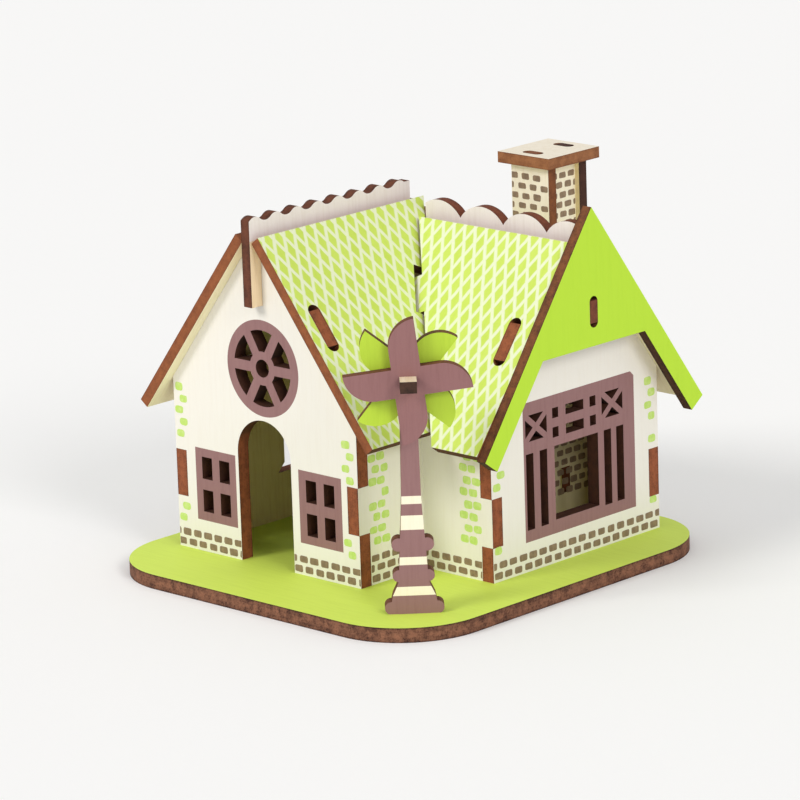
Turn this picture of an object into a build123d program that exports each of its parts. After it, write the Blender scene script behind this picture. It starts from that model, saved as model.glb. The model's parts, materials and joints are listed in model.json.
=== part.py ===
"""Wooden 3-D jigsaw cottage with a turning windmill: laser-cut plywood plates that slot together.

Millimetres, +Z up. The door gable faces -Y and the lattice gable faces +X.
The origin is the centre of the base plate's underside.

The house is drawn in its own plan: x and y start at the outer front-left corner of the walls,
and z starts at the top of the base plate. The last step moves every piece to the origin above.
"""
from build123d import *
from math import acos, atan2, cos, degrees, radians, sin, sqrt, tan
import os

# ---------------------------------------------------------------- stock and fits
WALL = 3.0              # plywood of the walls, the base and the windmill post
THIN = 2.3              # plywood of the roof, ridge boards, fascia, chimney and windmill
FIT = 0.05              # clearance on each side of a tab in its slot
ROUND_USE = 0.8         # share of a slot's round end that a tab's corners may use
RUN = 0.10              # radial clearance of the turning axle in the post
GAP = 0.3               # end float of the windmill on each side of the post

# ---------------------------------------------------------------- walls
FRONT_W = 51.5          # door gable, outside width
NOTCH_X = 18.6          # how far the lattice wing stands out to the right
NOTCH_Y = 18.7          # how far the door wing stands out to the front
SIDE_W = 50.5           # lattice gable, outside width
LEN_X = FRONT_W + NOTCH_X
LEN_Y = NOTCH_Y + SIDE_W
LEFT_RIDGE_X = FRONT_W / 2
RIGHT_RIDGE_Y = NOTCH_Y + SIDE_W / 2

# ---------------------------------------------------------------- roof
PITCH = 52.4            # degrees, both wings
LEFT_APEX = 73.0        # where the outer faces of the left roof would meet
RIGHT_APEX = 70.9       # the same for the right roof
EAVE_REACH = 32.8       # ridge plane to the eave's outer edge
FRONT_OVERHANG = 2.7    # left roof past the door gable
SIDE_OVERHANG = 3.4     # right roof past the lattice gable, where the fascia starts
LEFT_SLOT_AT = 16.4     # ridge plane to the middle of a gable tab, on the roof's outer face
RIGHT_SLOT_AT = 17.8
ROOF_TAB = 8.2          # length of a gable tab along the slope
LEFT_TOP_GAP = 0.2      # a roof panel stops this far below the ridge board, down the slope
RIGHT_TOP_GAP = 1.35
VALLEY_TAB_FROM = 13.2  # the right roof's valley finger, as distances from the left ridge
VALLEY_TAB_TO = 17.9
VALLEY_VENT = 1.3       # open notch beside that finger

S, C, T = sin(radians(PITCH)), cos(radians(PITCH)), tan(radians(PITCH))
UNDER = THIN / C                            # vertical thickness of a sloping panel
STEP = (LEFT_APEX - RIGHT_APEX) / T         # plan shift between the two roofs
CROSSING = acos(C * C)                      # angle at which the two roof planes cross
FINGER_REACH = THIN / sin(CROSSING)         # a valley finger, just through the other panel
NOTCH_BACK = THIN / tan(CROSSING) + FIT     # how far a panel steps back for that finger

# ---------------------------------------------------------------- corner fingers and base tabs
FRONT_FINGER = (10.9, 20.6)     # heights of the fingers at the door gable's corners
SIDE_FINGER = (7.2, 17.2)       # heights of the fingers at the lattice gable's corners
TAB = 7.0                       # width of the tabs that go down into the base
WALL_PLAY = 0.05                # wall tops to the roof's underside

# ---------------------------------------------------------------- base plate
BASE_LEFT, BASE_RIGHT = 6.8, 12.3   # margins around the walls
BASE_FRONT, BASE_BACK = 18.4, 6.4
BASE_CORNER = 18.0

# ---------------------------------------------------------------- openings in the gables
DOOR_LEFT, DOOR_RIGHT, DOOR_TOP = 18.0, 33.0, 30.4
PANE_W, PANE_H = 2.9, 4.65
MULLION, TRANSOM = 2.1, 2.3
WINDOW_Z = 14.25
WINDOW_XS = (11.35, 40.95)
ROSE_X, ROSE_Z = 26.0, 41.3
ROSE_HUB_HOLE, ROSE_HUB, ROSE_RIM = 1.85, 3.5, 7.9     # radii
ROSE_SPOKES, ROSE_SPOKE = 6, 2.1

LATTICE_Y = RIGHT_RIDGE_Y + 0.2     # centre of the lattice window
LATTICE_SILL, LATTICE_HEAD = 8.9, 24.2
LATTICE_OPEN = 13.2                 # centre opening
TALL_SLOT = 2.2
TALL_SLOTS_AT = (-14.0, -9.9, 9.5, 13.3)
SLAT_ROWS = ((26.0, 28.1), (30.0, 32.1))
SLATS = ((-6.1, 1.8), (-0.3, 5.4), (5.2, 1.8))    # centre and width
CROSS_AT, CROSS_W = (-11.9, 11.1), 6.4
CROSS_Z = (26.7, 32.1)
CROSS_BAR = 1.25

# ---------------------------------------------------------------- left wall window and partition
SIDE_WINDOW_Y, SIDE_WINDOW_W = 33.0, 10.0
SIDE_WINDOW_Z = (10.0, 24.0)
SIDE_WINDOW_CUT = 2.0
PARTITION_X = FRONT_W + 2.1         # its brick face, looking +X
PARTITION_H = 29.0
HEARTH_Y, HEARTH_W = 58.9, 3.0
HEARTH_Z = (7.0, 12.4)

# ---------------------------------------------------------------- ridge boards and fascia
LEFT_BOARD_NOSE = 3.0               # past the door gable
LEFT_BOARD_BOTTOM = 54.4
WAVE_VALLEY, WAVE_RISE = 71.6, 1.1      # lowest point of the wavy top, and its height
WAVES, WAVE_SPAN = 8, 5.93
WAVE_LEAD = 1.7                     # first crest, behind the nose
WAVE_END = (1.75, 68.0)             # the far end steps back this much, above this height
RIGHT_BOARD_BOTTOM = 47.0
SCALLOP_CUSP, SCALLOP_RISE = 66.3, 3.0
SCALLOP_SPAN = 11.7
SCALLOPS_FROM = LEFT_RIDGE_X + 3.9  # first cusp, just where the board comes out of the roof
LAP_Z = 60.0                        # height at which the two boards lap

FASCIA_PITCH = 54.0                 # the fascia's legs are a little steeper than the roof
FASCIA_APEX = 72.7
FASCIA_REACH = 32.9
FASCIA_LEG = 4.2                    # width of a leg, square to its slope
FASCIA_WEB = 44.4                   # bottom edge of the triangle
FASCIA_TAB = (49.1, 53.7)           # the right ridge board's tab

# ---------------------------------------------------------------- chimney
SHAFT_X, SHAFT_W = 51.35, 10.0
SHAFT_Y, SHAFT_D = 58.8, 11.6
CAP_X, CAP_Y = 13.8, 15.4
CAP_TOP = 79.0
CAP_TAB = 3.0
SIDE_INSET = 1.1                    # side plates stand back from the front plate's edges
SHAFT_TENON = 3.5
ROOF_TENON = 3.6

# ---------------------------------------------------------------- windmill
POST_X, POST_Y = 71.35, -5.55       # middle of the post's front face
POST_FACING = -45.0                 # degrees from +X
HUB_Z = 47.8
HEAD_R = 4.4
POST_NECK = 1.75                    # half width of the post below its head
# The post's edge as (half width, height): three turned rings, and the shank above each of them.
POST_RINGS = (((4.95, 0.0), (5.8, 1.3), (4.45, 2.5)),
              ((3.0, 6.5), (4.1, 7.7), (2.8, 8.9)),
              ((2.6, 12.7), (4.15, 13.9), (2.45, 15.3)))
POST_SHANKS = (((4.15, 3.8), (3.35, 5.5)),
               ((2.65, 11.2),),
               ((2.25, 17.2), (1.93, 23.3), (POST_NECK, 36.0)))
STRIP_W = 3.25                      # the axle is a strip of THIN stock
AXLE_NOSE = 4.2                     # past the front sail
AXLE_HEAD_W, AXLE_HEAD_L = 7.4, 2.4
BLADE_HALF = 2.84
BLADE_TIP = 12.3
BLADE_BEND = 6.5                    # where the curved edge starts
SAIL_TURN = 6.5                     # degrees, blades against the axle strip
FOOT_TAB = 6.0


# ================================================================ planes and small helpers
def facing_front(y):
    """Sketch plane with local x, y along world X, Z; its normal points to -Y."""
    return Plane(origin=(0, y, 0), x_dir=(1, 0, 0), z_dir=(0, -1, 0))


def facing_right(x):
    """Sketch plane with local x, y along world Y, Z; its normal points to +X."""
    return Plane(origin=(x, 0, 0), x_dir=(0, 1, 0), z_dir=(1, 0, 0))


def slope(apex_x, apex_y, apex_z, down):
    """Outer face of a roof panel: local x runs level, local y up the slope from the apex line."""
    dx, dy = down
    return Plane(origin=(apex_x, apex_y, apex_z), x_dir=(-dy, dx, 0), z_dir=(S * dx, S * dy, C))


def polygon(*points):
    return make_face(Polyline(*points, close=True))


def box2(x0, x1, y0, y1):
    """Rectangle from its limits."""
    return Pos((x0 + x1) / 2, (y0 + y1) / 2) * Rectangle(x1 - x0, y1 - y0)


def round_slot(thickness, length):
    """Slot with round ends for a square tab, along local y, long enough to clear the tab's corners."""
    radius = thickness / 2 + FIT
    reach = sqrt(radius ** 2 - (thickness / 2) ** 2)        # how far past its straight sides it clears
    return Rot(0, 0, 90) * SlotOverall(length + 2 * (radius - ROUND_USE * reach), 2 * radius)


def plate(plane, outline, thickness):
    return extrude(plane * outline, amount=thickness)


def spread(start, end, count):
    """Centres of `count` base tabs along a wall."""
    pitch = (end - start) / count
    return [start + pitch * (i + 0.5) for i in range(count)]


def tabs_down(centres):
    """Base tabs, to be added below a wall."""
    return [box2(c - TAB / 2, c + TAB / 2, -WALL, 0) for c in centres]


def fuse(shape, extras):
    for extra in extras:
        shape = shape + extra
    return shape


def cut(shape, holes):
    for hole in holes:
        shape = shape - hole
    return shape


def under_left(x):
    """Height of the left roof's underside above plan x."""
    return LEFT_APEX - UNDER - T * abs(x - LEFT_RIDGE_X)


def under_right(y):
    return RIGHT_APEX - UNDER - T * abs(y - RIGHT_RIDGE_Y)


def left_finger_end(y):
    """Plan x where a valley finger of the left roof ends, at plan y, on its outer face."""
    return LEFT_RIDGE_X + RIGHT_RIDGE_Y + STEP - y + FINGER_REACH * sqrt(1 + C * C)


def slope_from_inner(reach):
    """Distance down the outer face, for a point of the inner face `reach` from the ridge."""
    return (reach + THIN * S) / C


def gable_tab(ridge, apex, side, at):
    """Tab on a gable's slope, square to the roof and as long as the panel is thick."""
    low, high = (at / C + ROOF_TAB / 2), (at / C - ROOF_TAB / 2)
    corners = []
    for along, out in ((high, 0), (low, 0), (low, -1.5 * THIN), (high, -1.5 * THIN)):
        reach, drop = along * C + out * S, along * S - out * C
        corners.append((ridge + side * reach, apex - drop))
    return polygon(*corners)


# ================================================================ walls
FRONT_TABS = (DOOR_LEFT / 2, (DOOR_RIGHT + FRONT_W) / 2)
LEFT_TABS = spread(WALL, LEN_Y - WALL, 3)
INNER_SIDE_TABS = ((WALL + NOTCH_Y) / 2,)
INNER_FRONT_TABS = ((FRONT_W + LEN_X - WALL) / 2,)
LATTICE_TABS = spread(NOTCH_Y + WALL, LEN_Y - WALL, 2)
BACK_TABS = spread(WALL, LEN_X - WALL, 3)
PARTITION_TABS = spread(NOTCH_Y + WALL, LEN_Y - WALL, 2)


def flat_peak(ridge, apex, panel_top):
    """Cutter that ends a gable flat, level with the top inner edges of its two roof panels."""
    return box2(ridge - 3 * THIN, ridge + 3 * THIN, apex + panel_top * S - THIN * C, apex)


def finger_hole(x0, x1, heights):
    return box2(x0, x1, heights[0] - FIT, heights[1] + FIT)


def ridge_slot(ridge, bottom, top):
    """Slot in a gable's peak for a ridge board."""
    return box2(ridge - THIN / 2 - FIT, ridge + THIN / 2 + FIT, bottom, top)


def door_gable_wall():
    eave = under_left(0) - WALL_PLAY
    peak = under_left(LEFT_RIDGE_X) - WALL_PLAY
    outline = polygon((0, 0), (FRONT_W, 0), (FRONT_W, eave), (LEFT_RIDGE_X, peak), (0, eave))
    tabs = [gable_tab(LEFT_RIDGE_X, LEFT_APEX, side, LEFT_SLOT_AT) for side in (-1, 1)]
    outline = fuse(outline, tabs + tabs_down(FRONT_TABS))
    radius = (DOOR_RIGHT - DOOR_LEFT) / 2
    spring = DOOR_TOP - radius
    door = box2(DOOR_LEFT, DOOR_RIGHT, -WALL, spring)
    door = door + Pos(DOOR_LEFT + radius, spring) * Circle(radius)
    holes = [door, ridge_slot(LEFT_RIDGE_X, left_lap(), peak + THIN)]
    holes.append(flat_peak(LEFT_RIDGE_X, LEFT_APEX, LEFT_TOP))
    holes.append(finger_hole(-1, WALL, FRONT_FINGER))
    holes.append(finger_hole(FRONT_W - WALL, FRONT_W + 1, FRONT_FINGER))
    for window_x in WINDOW_XS:
        for column in (-1, 1):
            for row in (-1, 1):
                x = window_x + column * (PANE_W + MULLION) / 2
                z = WINDOW_Z + row * (PANE_H + TRANSOM) / 2
                holes.append(Pos(x, z) * Rectangle(PANE_W, PANE_H))
    outline = cut(outline, holes) - rose_window()
    return plate(facing_front(WALL), outline, WALL)


def rose_window():
    """Round centre hole and the six panes between the spokes."""
    ring = Circle(ROSE_RIM) - Circle(ROSE_HUB)
    for i in range(ROSE_SPOKES // 2):
        ring = ring - Rot(0, 0, 360 / ROSE_SPOKES * i) * Rectangle(3 * ROSE_RIM, ROSE_SPOKE)
    return Pos(ROSE_X, ROSE_Z) * (ring + Circle(ROSE_HUB_HOLE))


def left_lap():
    """Height where the left ridge board's slot and the door gable's slot meet."""
    return (LEFT_BOARD_BOTTOM + under_left(LEFT_RIDGE_X)) / 2


def right_lap():
    return (RIGHT_BOARD_BOTTOM + under_right(RIGHT_RIDGE_Y)) / 2


def above(height, near, far):
    """Everything above a sloping underside, from plan distance `near` to `far`, to cut a wall's top."""
    low, high = height(near) - WALL_PLAY, height(far) - WALL_PLAY
    return polygon((near, low), (far, high), (far, high + LEFT_APEX), (near, high + LEFT_APEX))


def left_side_wall():
    top = under_left(0) - WALL_PLAY
    outline = box2(WALL, LEN_Y - WALL, 0, top) - above(under_right, LEN_Y, RIGHT_RIDGE_Y)
    outline = outline + box2(0, WALL, *FRONT_FINGER) + box2(LEN_Y - WALL, LEN_Y, *FRONT_FINGER)
    outline = fuse(outline, tabs_down(LEFT_TABS))
    y0, y1 = SIDE_WINDOW_Y - SIDE_WINDOW_W / 2, SIDE_WINDOW_Y + SIDE_WINDOW_W / 2
    z0, z1 = SIDE_WINDOW_Z
    window = polygon((y0, z0), (y1, z0), (y1, z1), (y0, z1), (y0, z0 + SIDE_WINDOW_CUT),
                     (y0 - SIDE_WINDOW_CUT, z0))
    return plate(facing_right(0), outline - window, WALL)


def inner_side_wall():
    top = under_left(FRONT_W) - WALL_PLAY
    outline = box2(WALL, NOTCH_Y, 0, top)
    outline = outline + box2(0, WALL, *FRONT_FINGER) + box2(NOTCH_Y, NOTCH_Y + WALL, *FRONT_FINGER)
    outline = fuse(outline, tabs_down(INNER_SIDE_TABS))
    return plate(facing_right(FRONT_W - WALL), outline, WALL)


def inner_front_wall():
    """The front wall beside the door wing; its top steps down where the left roof's finger passes."""
    top = under_right(NOTCH_Y) - WALL_PLAY
    outline = box2(FRONT_W - WALL, LEN_X - WALL, 0, top) + box2(LEN_X - WALL, LEN_X, *SIDE_FINGER)
    outline = fuse(outline, tabs_down(INNER_FRONT_TABS))
    start = LEFT_RIDGE_X + (under_left(LEFT_RIDGE_X) - top) / T
    end = left_finger_end(NOTCH_Y) + GAP
    step = polygon((start - 1, top + 1), (start - 1, top + T - GAP), (end, under_left(end) - GAP),
                   (end, top + 1))
    outline = cut(outline, [step, finger_hole(FRONT_W - WALL - 1, FRONT_W, FRONT_FINGER)])
    return plate(facing_front(NOTCH_Y + WALL), outline, WALL)


def lattice_window():
    """Cut-outs of the lattice window, in the gable's own sketch."""
    holes = [box2(LATTICE_Y - LATTICE_OPEN / 2, LATTICE_Y + LATTICE_OPEN / 2, LATTICE_SILL, LATTICE_HEAD)]
    for at in TALL_SLOTS_AT:
        holes.append(box2(LATTICE_Y + at - TALL_SLOT / 2, LATTICE_Y + at + TALL_SLOT / 2,
                          LATTICE_SILL - 0.4, LATTICE_HEAD))
    for z0, z1 in SLAT_ROWS:
        for at, width in SLATS:
            holes.append(box2(LATTICE_Y + at - width / 2, LATTICE_Y + at + width / 2, z0, z1))
    z0, z1 = CROSS_Z
    height = z1 - z0
    for at in CROSS_AT:
        frame = Rectangle(CROSS_W, height)
        angle = degrees(atan2(height, CROSS_W))
        for turn in (angle, -angle):
            frame = frame - Rot(0, 0, turn) * Rectangle(2 * CROSS_W, CROSS_BAR)
        holes.append(Pos(LATTICE_Y + at, (z0 + z1) / 2) * frame)
    return holes


def lattice_gable_wall():
    eave = under_right(NOTCH_Y) - WALL_PLAY
    peak = under_right(RIGHT_RIDGE_Y) - WALL_PLAY
    outline = polygon((NOTCH_Y, 0), (LEN_Y, 0), (LEN_Y, eave), (RIGHT_RIDGE_Y, peak), (NOTCH_Y, eave))
    tabs = [gable_tab(RIGHT_RIDGE_Y, RIGHT_APEX, side, RIGHT_SLOT_AT) for side in (-1, 1)]
    outline = fuse(outline, tabs + tabs_down(LATTICE_TABS))
    holes = lattice_window() + [ridge_slot(RIGHT_RIDGE_Y, right_lap(), peak + THIN)]
    holes.append(flat_peak(RIGHT_RIDGE_Y, RIGHT_APEX, RIGHT_TOP))
    holes.append(finger_hole(NOTCH_Y - 1, NOTCH_Y + WALL, SIDE_FINGER))
    holes.append(finger_hole(LEN_Y - WALL, LEN_Y + 1, SIDE_FINGER))
    return plate(facing_right(LEN_X - WALL), cut(outline, holes), WALL)


def back_wall():
    top = under_right(LEN_Y) - WALL_PLAY
    outline = box2(0, LEN_X - WALL, 0, top) - above(under_left, 0, LEFT_RIDGE_X)
    outline = outline + box2(LEN_X - WALL, LEN_X, *SIDE_FINGER)
    outline = fuse(outline, tabs_down(BACK_TABS)) - finger_hole(-1, WALL, FRONT_FINGER)
    return plate(facing_front(LEN_Y), outline, WALL)


def hearth_partition():
    outline = box2(NOTCH_Y + WALL, LEN_Y - WALL, 0, PARTITION_H)
    outline = fuse(outline, tabs_down(PARTITION_TABS))
    outline = outline - box2(HEARTH_Y - HEARTH_W / 2, HEARTH_Y + HEARTH_W / 2, *HEARTH_Z)
    return plate(facing_right(PARTITION_X - THIN), outline, THIN)


# ================================================================ roof
def valley_edge(spans, level, side):
    """Stepped valley edge in a panel's sketch.

    spans: (start, end, offset), with start and end as plan distances from that panel's ridge.
    level: local x of the valley at the ridge. side: +1 if the valley moves to +x going down.
    """
    norm = sqrt(1 + C * C)
    points = []
    for start, end, offset in spans:
        for reach in (start, end):
            along = reach / C
            points.append((level + side * (reach - offset / norm), -(along + offset * C / norm)))
    return points


def cut_to(points, top, bottom):
    """Clip the first and last point of a valley edge to the panel's top and bottom lines."""
    for i, j, line in ((0, 1, top), (-1, -2, bottom)):
        (x0, y0), (x1, y1) = points[i], points[j]
        points[i] = (x0 + (line - y0) * (x1 - x0) / (y1 - y0), line)
    return points


TOUCH_EDGE = -slope_from_inner(THIN / 2 + FIT)      # where a panel would meet the ridge board
LEFT_TOP = TOUCH_EDGE - LEFT_TOP_GAP
RIGHT_TOP = TOUCH_EDGE - RIGHT_TOP_GAP
EAVE_EDGE = -EAVE_REACH / C
VENT_FROM = VALLEY_TAB_FROM - VALLEY_VENT


def tab_slot(across, at):
    """Slot in a panel for a gable tab."""
    return Pos(across, -at / C) * round_slot(WALL, ROOF_TAB)


def roof_left_inner():
    """Right-hand slope of the door wing; local x is plan y."""
    plane = slope(LEFT_RIDGE_X, 0, LEFT_APEX, (1, 0))
    spans = ((0, VENT_FROM, FINGER_REACH), (VENT_FROM, VALLEY_TAB_TO, -NOTCH_BACK),
             (VALLEY_TAB_TO, EAVE_REACH, FINGER_REACH))
    valley = cut_to(valley_edge(spans, RIGHT_RIDGE_Y + STEP, -1), LEFT_TOP, EAVE_EDGE)
    outline = polygon((-FRONT_OVERHANG, LEFT_TOP), *valley, (-FRONT_OVERHANG, EAVE_EDGE))
    return plate(plane, outline - tab_slot(WALL / 2, LEFT_SLOT_AT), -THIN)


def roof_right_front():
    """Front slope of the lattice wing; local x is plan x."""
    plane = slope(0, RIGHT_RIDGE_Y, RIGHT_APEX, (0, -1))
    start, end = VALLEY_TAB_FROM - STEP, VALLEY_TAB_TO - STEP - FIT
    spans = ((0, start, -NOTCH_BACK), (start, end, FINGER_REACH), (end, EAVE_REACH, -NOTCH_BACK))
    valley = cut_to(valley_edge(spans, LEFT_RIDGE_X + STEP, 1), RIGHT_TOP, EAVE_EDGE)
    right = LEN_X + SIDE_OVERHANG
    outline = polygon((right, RIGHT_TOP), *valley, (right, EAVE_EDGE))
    return plate(plane, outline - tab_slot(LEN_X - WALL / 2, RIGHT_SLOT_AT), -THIN)


def roof_left_outer():
    """Left-hand slope of the door wing, from the front to the hip; local x is minus plan y."""
    plane = slope(LEFT_RIDGE_X, 0, LEFT_APEX, (-1, 0))
    hip_top = RIGHT_RIDGE_Y - STEP + THIN / 2
    hip_eave = RIGHT_RIDGE_Y - STEP + EAVE_REACH - THIN * S - FIT
    outline = polygon((FRONT_OVERHANG, LEFT_TOP), (-hip_top, LEFT_TOP), (-hip_eave, EAVE_EDGE),
                      (FRONT_OVERHANG, EAVE_EDGE))
    return plate(plane, outline - tab_slot(-WALL / 2, LEFT_SLOT_AT), -THIN)


def roof_right_back():
    """Back slope of the lattice wing, from the hip to the fascia; local x is minus plan x."""
    plane = slope(0, RIGHT_RIDGE_Y, RIGHT_APEX, (0, 1))
    hip_top = LEFT_RIDGE_X - STEP - THIN / 2
    hip_eave = LEFT_RIDGE_X - STEP - EAVE_REACH + THIN * S + FIT
    right = LEN_X + SIDE_OVERHANG
    outline = polygon((-right, RIGHT_TOP), (-hip_top, RIGHT_TOP), (-hip_eave, EAVE_EDGE), (-right, EAVE_EDGE))
    outline = outline - tab_slot(-(LEN_X - WALL / 2), RIGHT_SLOT_AT)
    for centre in side_plate_centres():
        outline = outline - Pos(-centre, -(SHAFT_Y - RIGHT_RIDGE_Y) / C) * round_slot(THIN, ROOF_TENON)
    return plate(plane, outline, -THIN)


# ================================================================ ridge boards and fascia
def hump(start, end, base, rise):
    """Face between a straight base and an arc; a negative rise makes a hollow to cut."""
    arc = ThreePointArc((start, base), ((start + end) / 2, base + rise), (end, base))
    return make_face([arc, Line((end, base), (start, base))])


def left_ridge_board():
    start, end = -LEFT_BOARD_NOSE, RIGHT_RIDGE_Y + THIN / 2
    half_rise = WAVE_RISE / 2
    middle = WAVE_VALLEY + half_rise
    outline = box2(start, end, LEFT_BOARD_BOTTOM, middle)
    quarter = WAVE_SPAN / 4
    for i in range(WAVES):
        valley = start + WAVE_LEAD + (4 * i - 2) * quarter
        outline = outline + hump(valley + quarter, valley + 3 * quarter, middle, half_rise)
        outline = outline - hump(valley - quarter, valley + quarter, middle, -half_rise)
    step, level = WAVE_END
    outline = outline - box2(end - step, end + 1, level, LEFT_APEX + WAVE_RISE)
    gable_slot = box2(-FIT, WALL + FIT, LEFT_BOARD_BOTTOM - 1, left_lap())
    lap = box2(end - THIN - FIT, end + 1, LEFT_BOARD_BOTTOM - 1, LAP_Z)
    return plate(facing_right(LEFT_RIDGE_X - THIN / 2), cut(outline, [gable_slot, lap]), THIN)


def right_ridge_board():
    """Rises above the roof only past the left panel's top finger; before that it stays under it."""
    face, end = LEFT_RIDGE_X + THIN / 2, LEN_X + SIDE_OVERHANG
    start_x = left_finger_end(RIGHT_RIDGE_Y - THIN / 2) + GAP
    low, cusp = RIGHT_BOARD_BOTTOM, SCALLOP_CUSP
    outline = polygon((face - THIN, low), (end, low), (end, cusp), (start_x, cusp),
                      (start_x, under_left(start_x) - GAP), (face + FIT, under_left(face) - GAP),
                      (face + FIT, LAP_Z), (face - THIN, LAP_Z))
    scallops = int((end - SCALLOPS_FROM) // SCALLOP_SPAN) + 1
    for i in range(scallops):
        start = SCALLOPS_FROM + i * SCALLOP_SPAN
        outline = outline + hump(start, start + SCALLOP_SPAN, cusp, SCALLOP_RISE)
    trims = [box2(0, start_x, cusp - FIT, cusp + 2 * SCALLOP_RISE)]
    trims.append(box2(end, end + SCALLOP_SPAN, cusp - 1, cusp + 2 * SCALLOP_RISE))
    trims.append(box2(LEN_X - WALL - FIT, LEN_X + FIT, low - 1, right_lap()))
    outline = cut(outline, trims) + box2(end, end + THIN, *FASCIA_TAB)
    return plate(facing_front(RIGHT_RIDGE_Y + THIN / 2), outline, THIN)


def fascia_board():
    pitch = radians(FASCIA_PITCH)
    foot, foot_z = FASCIA_REACH, FASCIA_APEX - FASCIA_REACH * tan(pitch)
    heel, heel_z = foot - FASCIA_LEG * sin(pitch), foot_z - FASCIA_LEG * cos(pitch)
    inner_apex = FASCIA_APEX - FASCIA_LEG / cos(pitch)
    web = (inner_apex - FASCIA_WEB) / tan(pitch)
    half = [(0, FASCIA_APEX), (foot, foot_z), (heel, heel_z), (web, FASCIA_WEB)]
    mirrored = [(-y, z) for y, z in reversed(half[1:])]
    outline = Pos(RIGHT_RIDGE_Y, 0) * polygon(*half, *mirrored)
    slot = round_slot(THIN, FASCIA_TAB[1] - FASCIA_TAB[0])
    outline = outline - Pos(RIGHT_RIDGE_Y, sum(FASCIA_TAB) / 2) * slot
    return plate(facing_right(LEN_X + SIDE_OVERHANG), outline, THIN)


# ================================================================ chimney
def side_plate_centres():
    reach = SHAFT_W / 2 - SIDE_INSET - THIN / 2
    return (SHAFT_X - reach, SHAFT_X + reach)


def roof_back_z(y):
    return RIGHT_APEX - T * (y - RIGHT_RIDGE_Y)


SHAFT_TOP = CAP_TOP - THIN
TENON_Z = roof_back_z(SHAFT_Y - SHAFT_D / 2) + 1.2      # bottom of the tenons in the front plate


def chimney_broad_plate(y):
    """Front or back plate: a tab up into the cap and two mortises for the side plates."""
    low = roof_back_z(y)
    outline = box2(SHAFT_X - SHAFT_W / 2, SHAFT_X + SHAFT_W / 2, low, SHAFT_TOP)
    outline = outline + box2(SHAFT_X - CAP_TAB / 2, SHAFT_X + CAP_TAB / 2, SHAFT_TOP, CAP_TOP)
    for centre in side_plate_centres():
        outline = outline - box2(centre - THIN / 2 - FIT, centre + THIN / 2 + FIT,
                                 TENON_Z - FIT, TENON_Z + SHAFT_TENON + FIT)
    return plate(facing_front(y + THIN), outline, THIN)


def chimney_side_plate(centre):
    """Side plate: foot cut to the roof's slope, one tenon through the roof, two through the shaft."""
    y0, y1 = SHAFT_Y - SHAFT_D / 2 + THIN, SHAFT_Y + SHAFT_D / 2 - THIN
    outline = polygon((y0, roof_back_z(y0)), (y1, roof_back_z(y1)), (y1, SHAFT_TOP), (y0, SHAFT_TOP))
    outline = outline + box2(y0 - THIN, y1 + THIN, TENON_Z, TENON_Z + SHAFT_TENON)
    corners = []
    for along, inward in ((-1, -THIN / 4), (1, -THIN / 4), (1, THIN), (-1, THIN)):
        run = along * ROOF_TENON / 2
        y = SHAFT_Y + run * C - inward * S
        corners.append((y, roof_back_z(SHAFT_Y) - run * S - inward * C))
    outline = outline + polygon(*corners)
    return plate(facing_right(centre - THIN / 2), outline, THIN)


def chimney_cap():
    outline = Pos(SHAFT_X, SHAFT_Y) * Rectangle(CAP_X, CAP_Y)
    for side in (-1, 1):
        slot = Rot(0, 0, 90) * round_slot(THIN, CAP_TAB)
        outline = outline - Pos(SHAFT_X, SHAFT_Y + side * (SHAFT_D - THIN) / 2) * slot
    return plate(Plane.XY.offset(SHAFT_TOP), outline, THIN)


# ================================================================ windmill
def post_plane(forward):
    """Plane parallel to the post's front face and `forward` of it; local x, y are level and up."""
    turn = radians(POST_FACING)
    nx, ny = cos(turn), sin(turn)
    origin = (POST_X + forward * nx, POST_Y + forward * ny, 0)
    return Plane(origin=origin, x_dir=(-ny, nx, 0), z_dir=(nx, ny, 0))


REAR_SAIL_AT = GAP
FRONT_SAIL_AT = REAR_SAIL_AT + THIN
NOSE_AT = FRONT_SAIL_AT + THIN + AXLE_NOSE
BORE_R = sqrt(STRIP_W ** 2 + THIN ** 2) / 2 + RUN


def post_half():
    """One edge of the post, from the foot up to its head."""
    head_foot = (POST_NECK, HUB_Z - sqrt(HEAD_R ** 2 - POST_NECK ** 2))
    edges = []
    for i, (ring, shank) in enumerate(zip(POST_RINGS, POST_SHANKS)):
        above = POST_RINGS[i + 1][0] if i + 1 < len(POST_RINGS) else head_foot
        edges.append(ThreePointArc(*ring))
        edges.append(Polyline(ring[-1], *shank, above))
    return edges


def windmill_post():
    right = post_half()
    tip = right[-1] @ 1
    left = [mirror(edge, about=Plane.YZ) for edge in right]
    head = ThreePointArc((tip.X, tip.Y), (0, HUB_Z + HEAD_R), (-tip.X, tip.Y))
    foot_half = POST_RINGS[0][0][0]
    foot = Line((-foot_half, 0), (foot_half, 0))
    outline = make_face(Wire.combine([*right, head, *left, foot])[0].edges())
    outline = outline + box2(-FOOT_TAB / 2, FOOT_TAB / 2, -WALL, 0)
    outline = outline - Pos(0, HUB_Z) * Circle(BORE_R)
    return plate(post_plane(0), outline, -WALL)


def sail(forward, turn):
    """Pinwheel of four blades, each with one straight and one curved edge."""
    half, tip, bend = BLADE_HALF, BLADE_TIP, BLADE_BEND
    rise = tip - bend
    radius = (4 * half ** 2 + rise ** 2) / (4 * half)
    end_angle = atan2(rise, 2 * half - radius)
    middle = (radians(180) + end_angle) / 2
    bow = (radius - half + radius * cos(middle), bend + radius * sin(middle))
    curve = ThreePointArc((-half, bend), bow, (half, tip))
    blade = make_face([curve, Polyline((half, tip), (half, 0), (-half, 0), (-half, bend))])
    wheel = blade
    for i in range(1, 4):
        wheel = wheel + Rot(0, 0, 90 * i) * blade
    wheel = Pos(0, HUB_Z) * (Rot(0, 0, turn) * wheel - Rectangle(STRIP_W, THIN))
    return plate(post_plane(forward), wheel, THIN)


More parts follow.
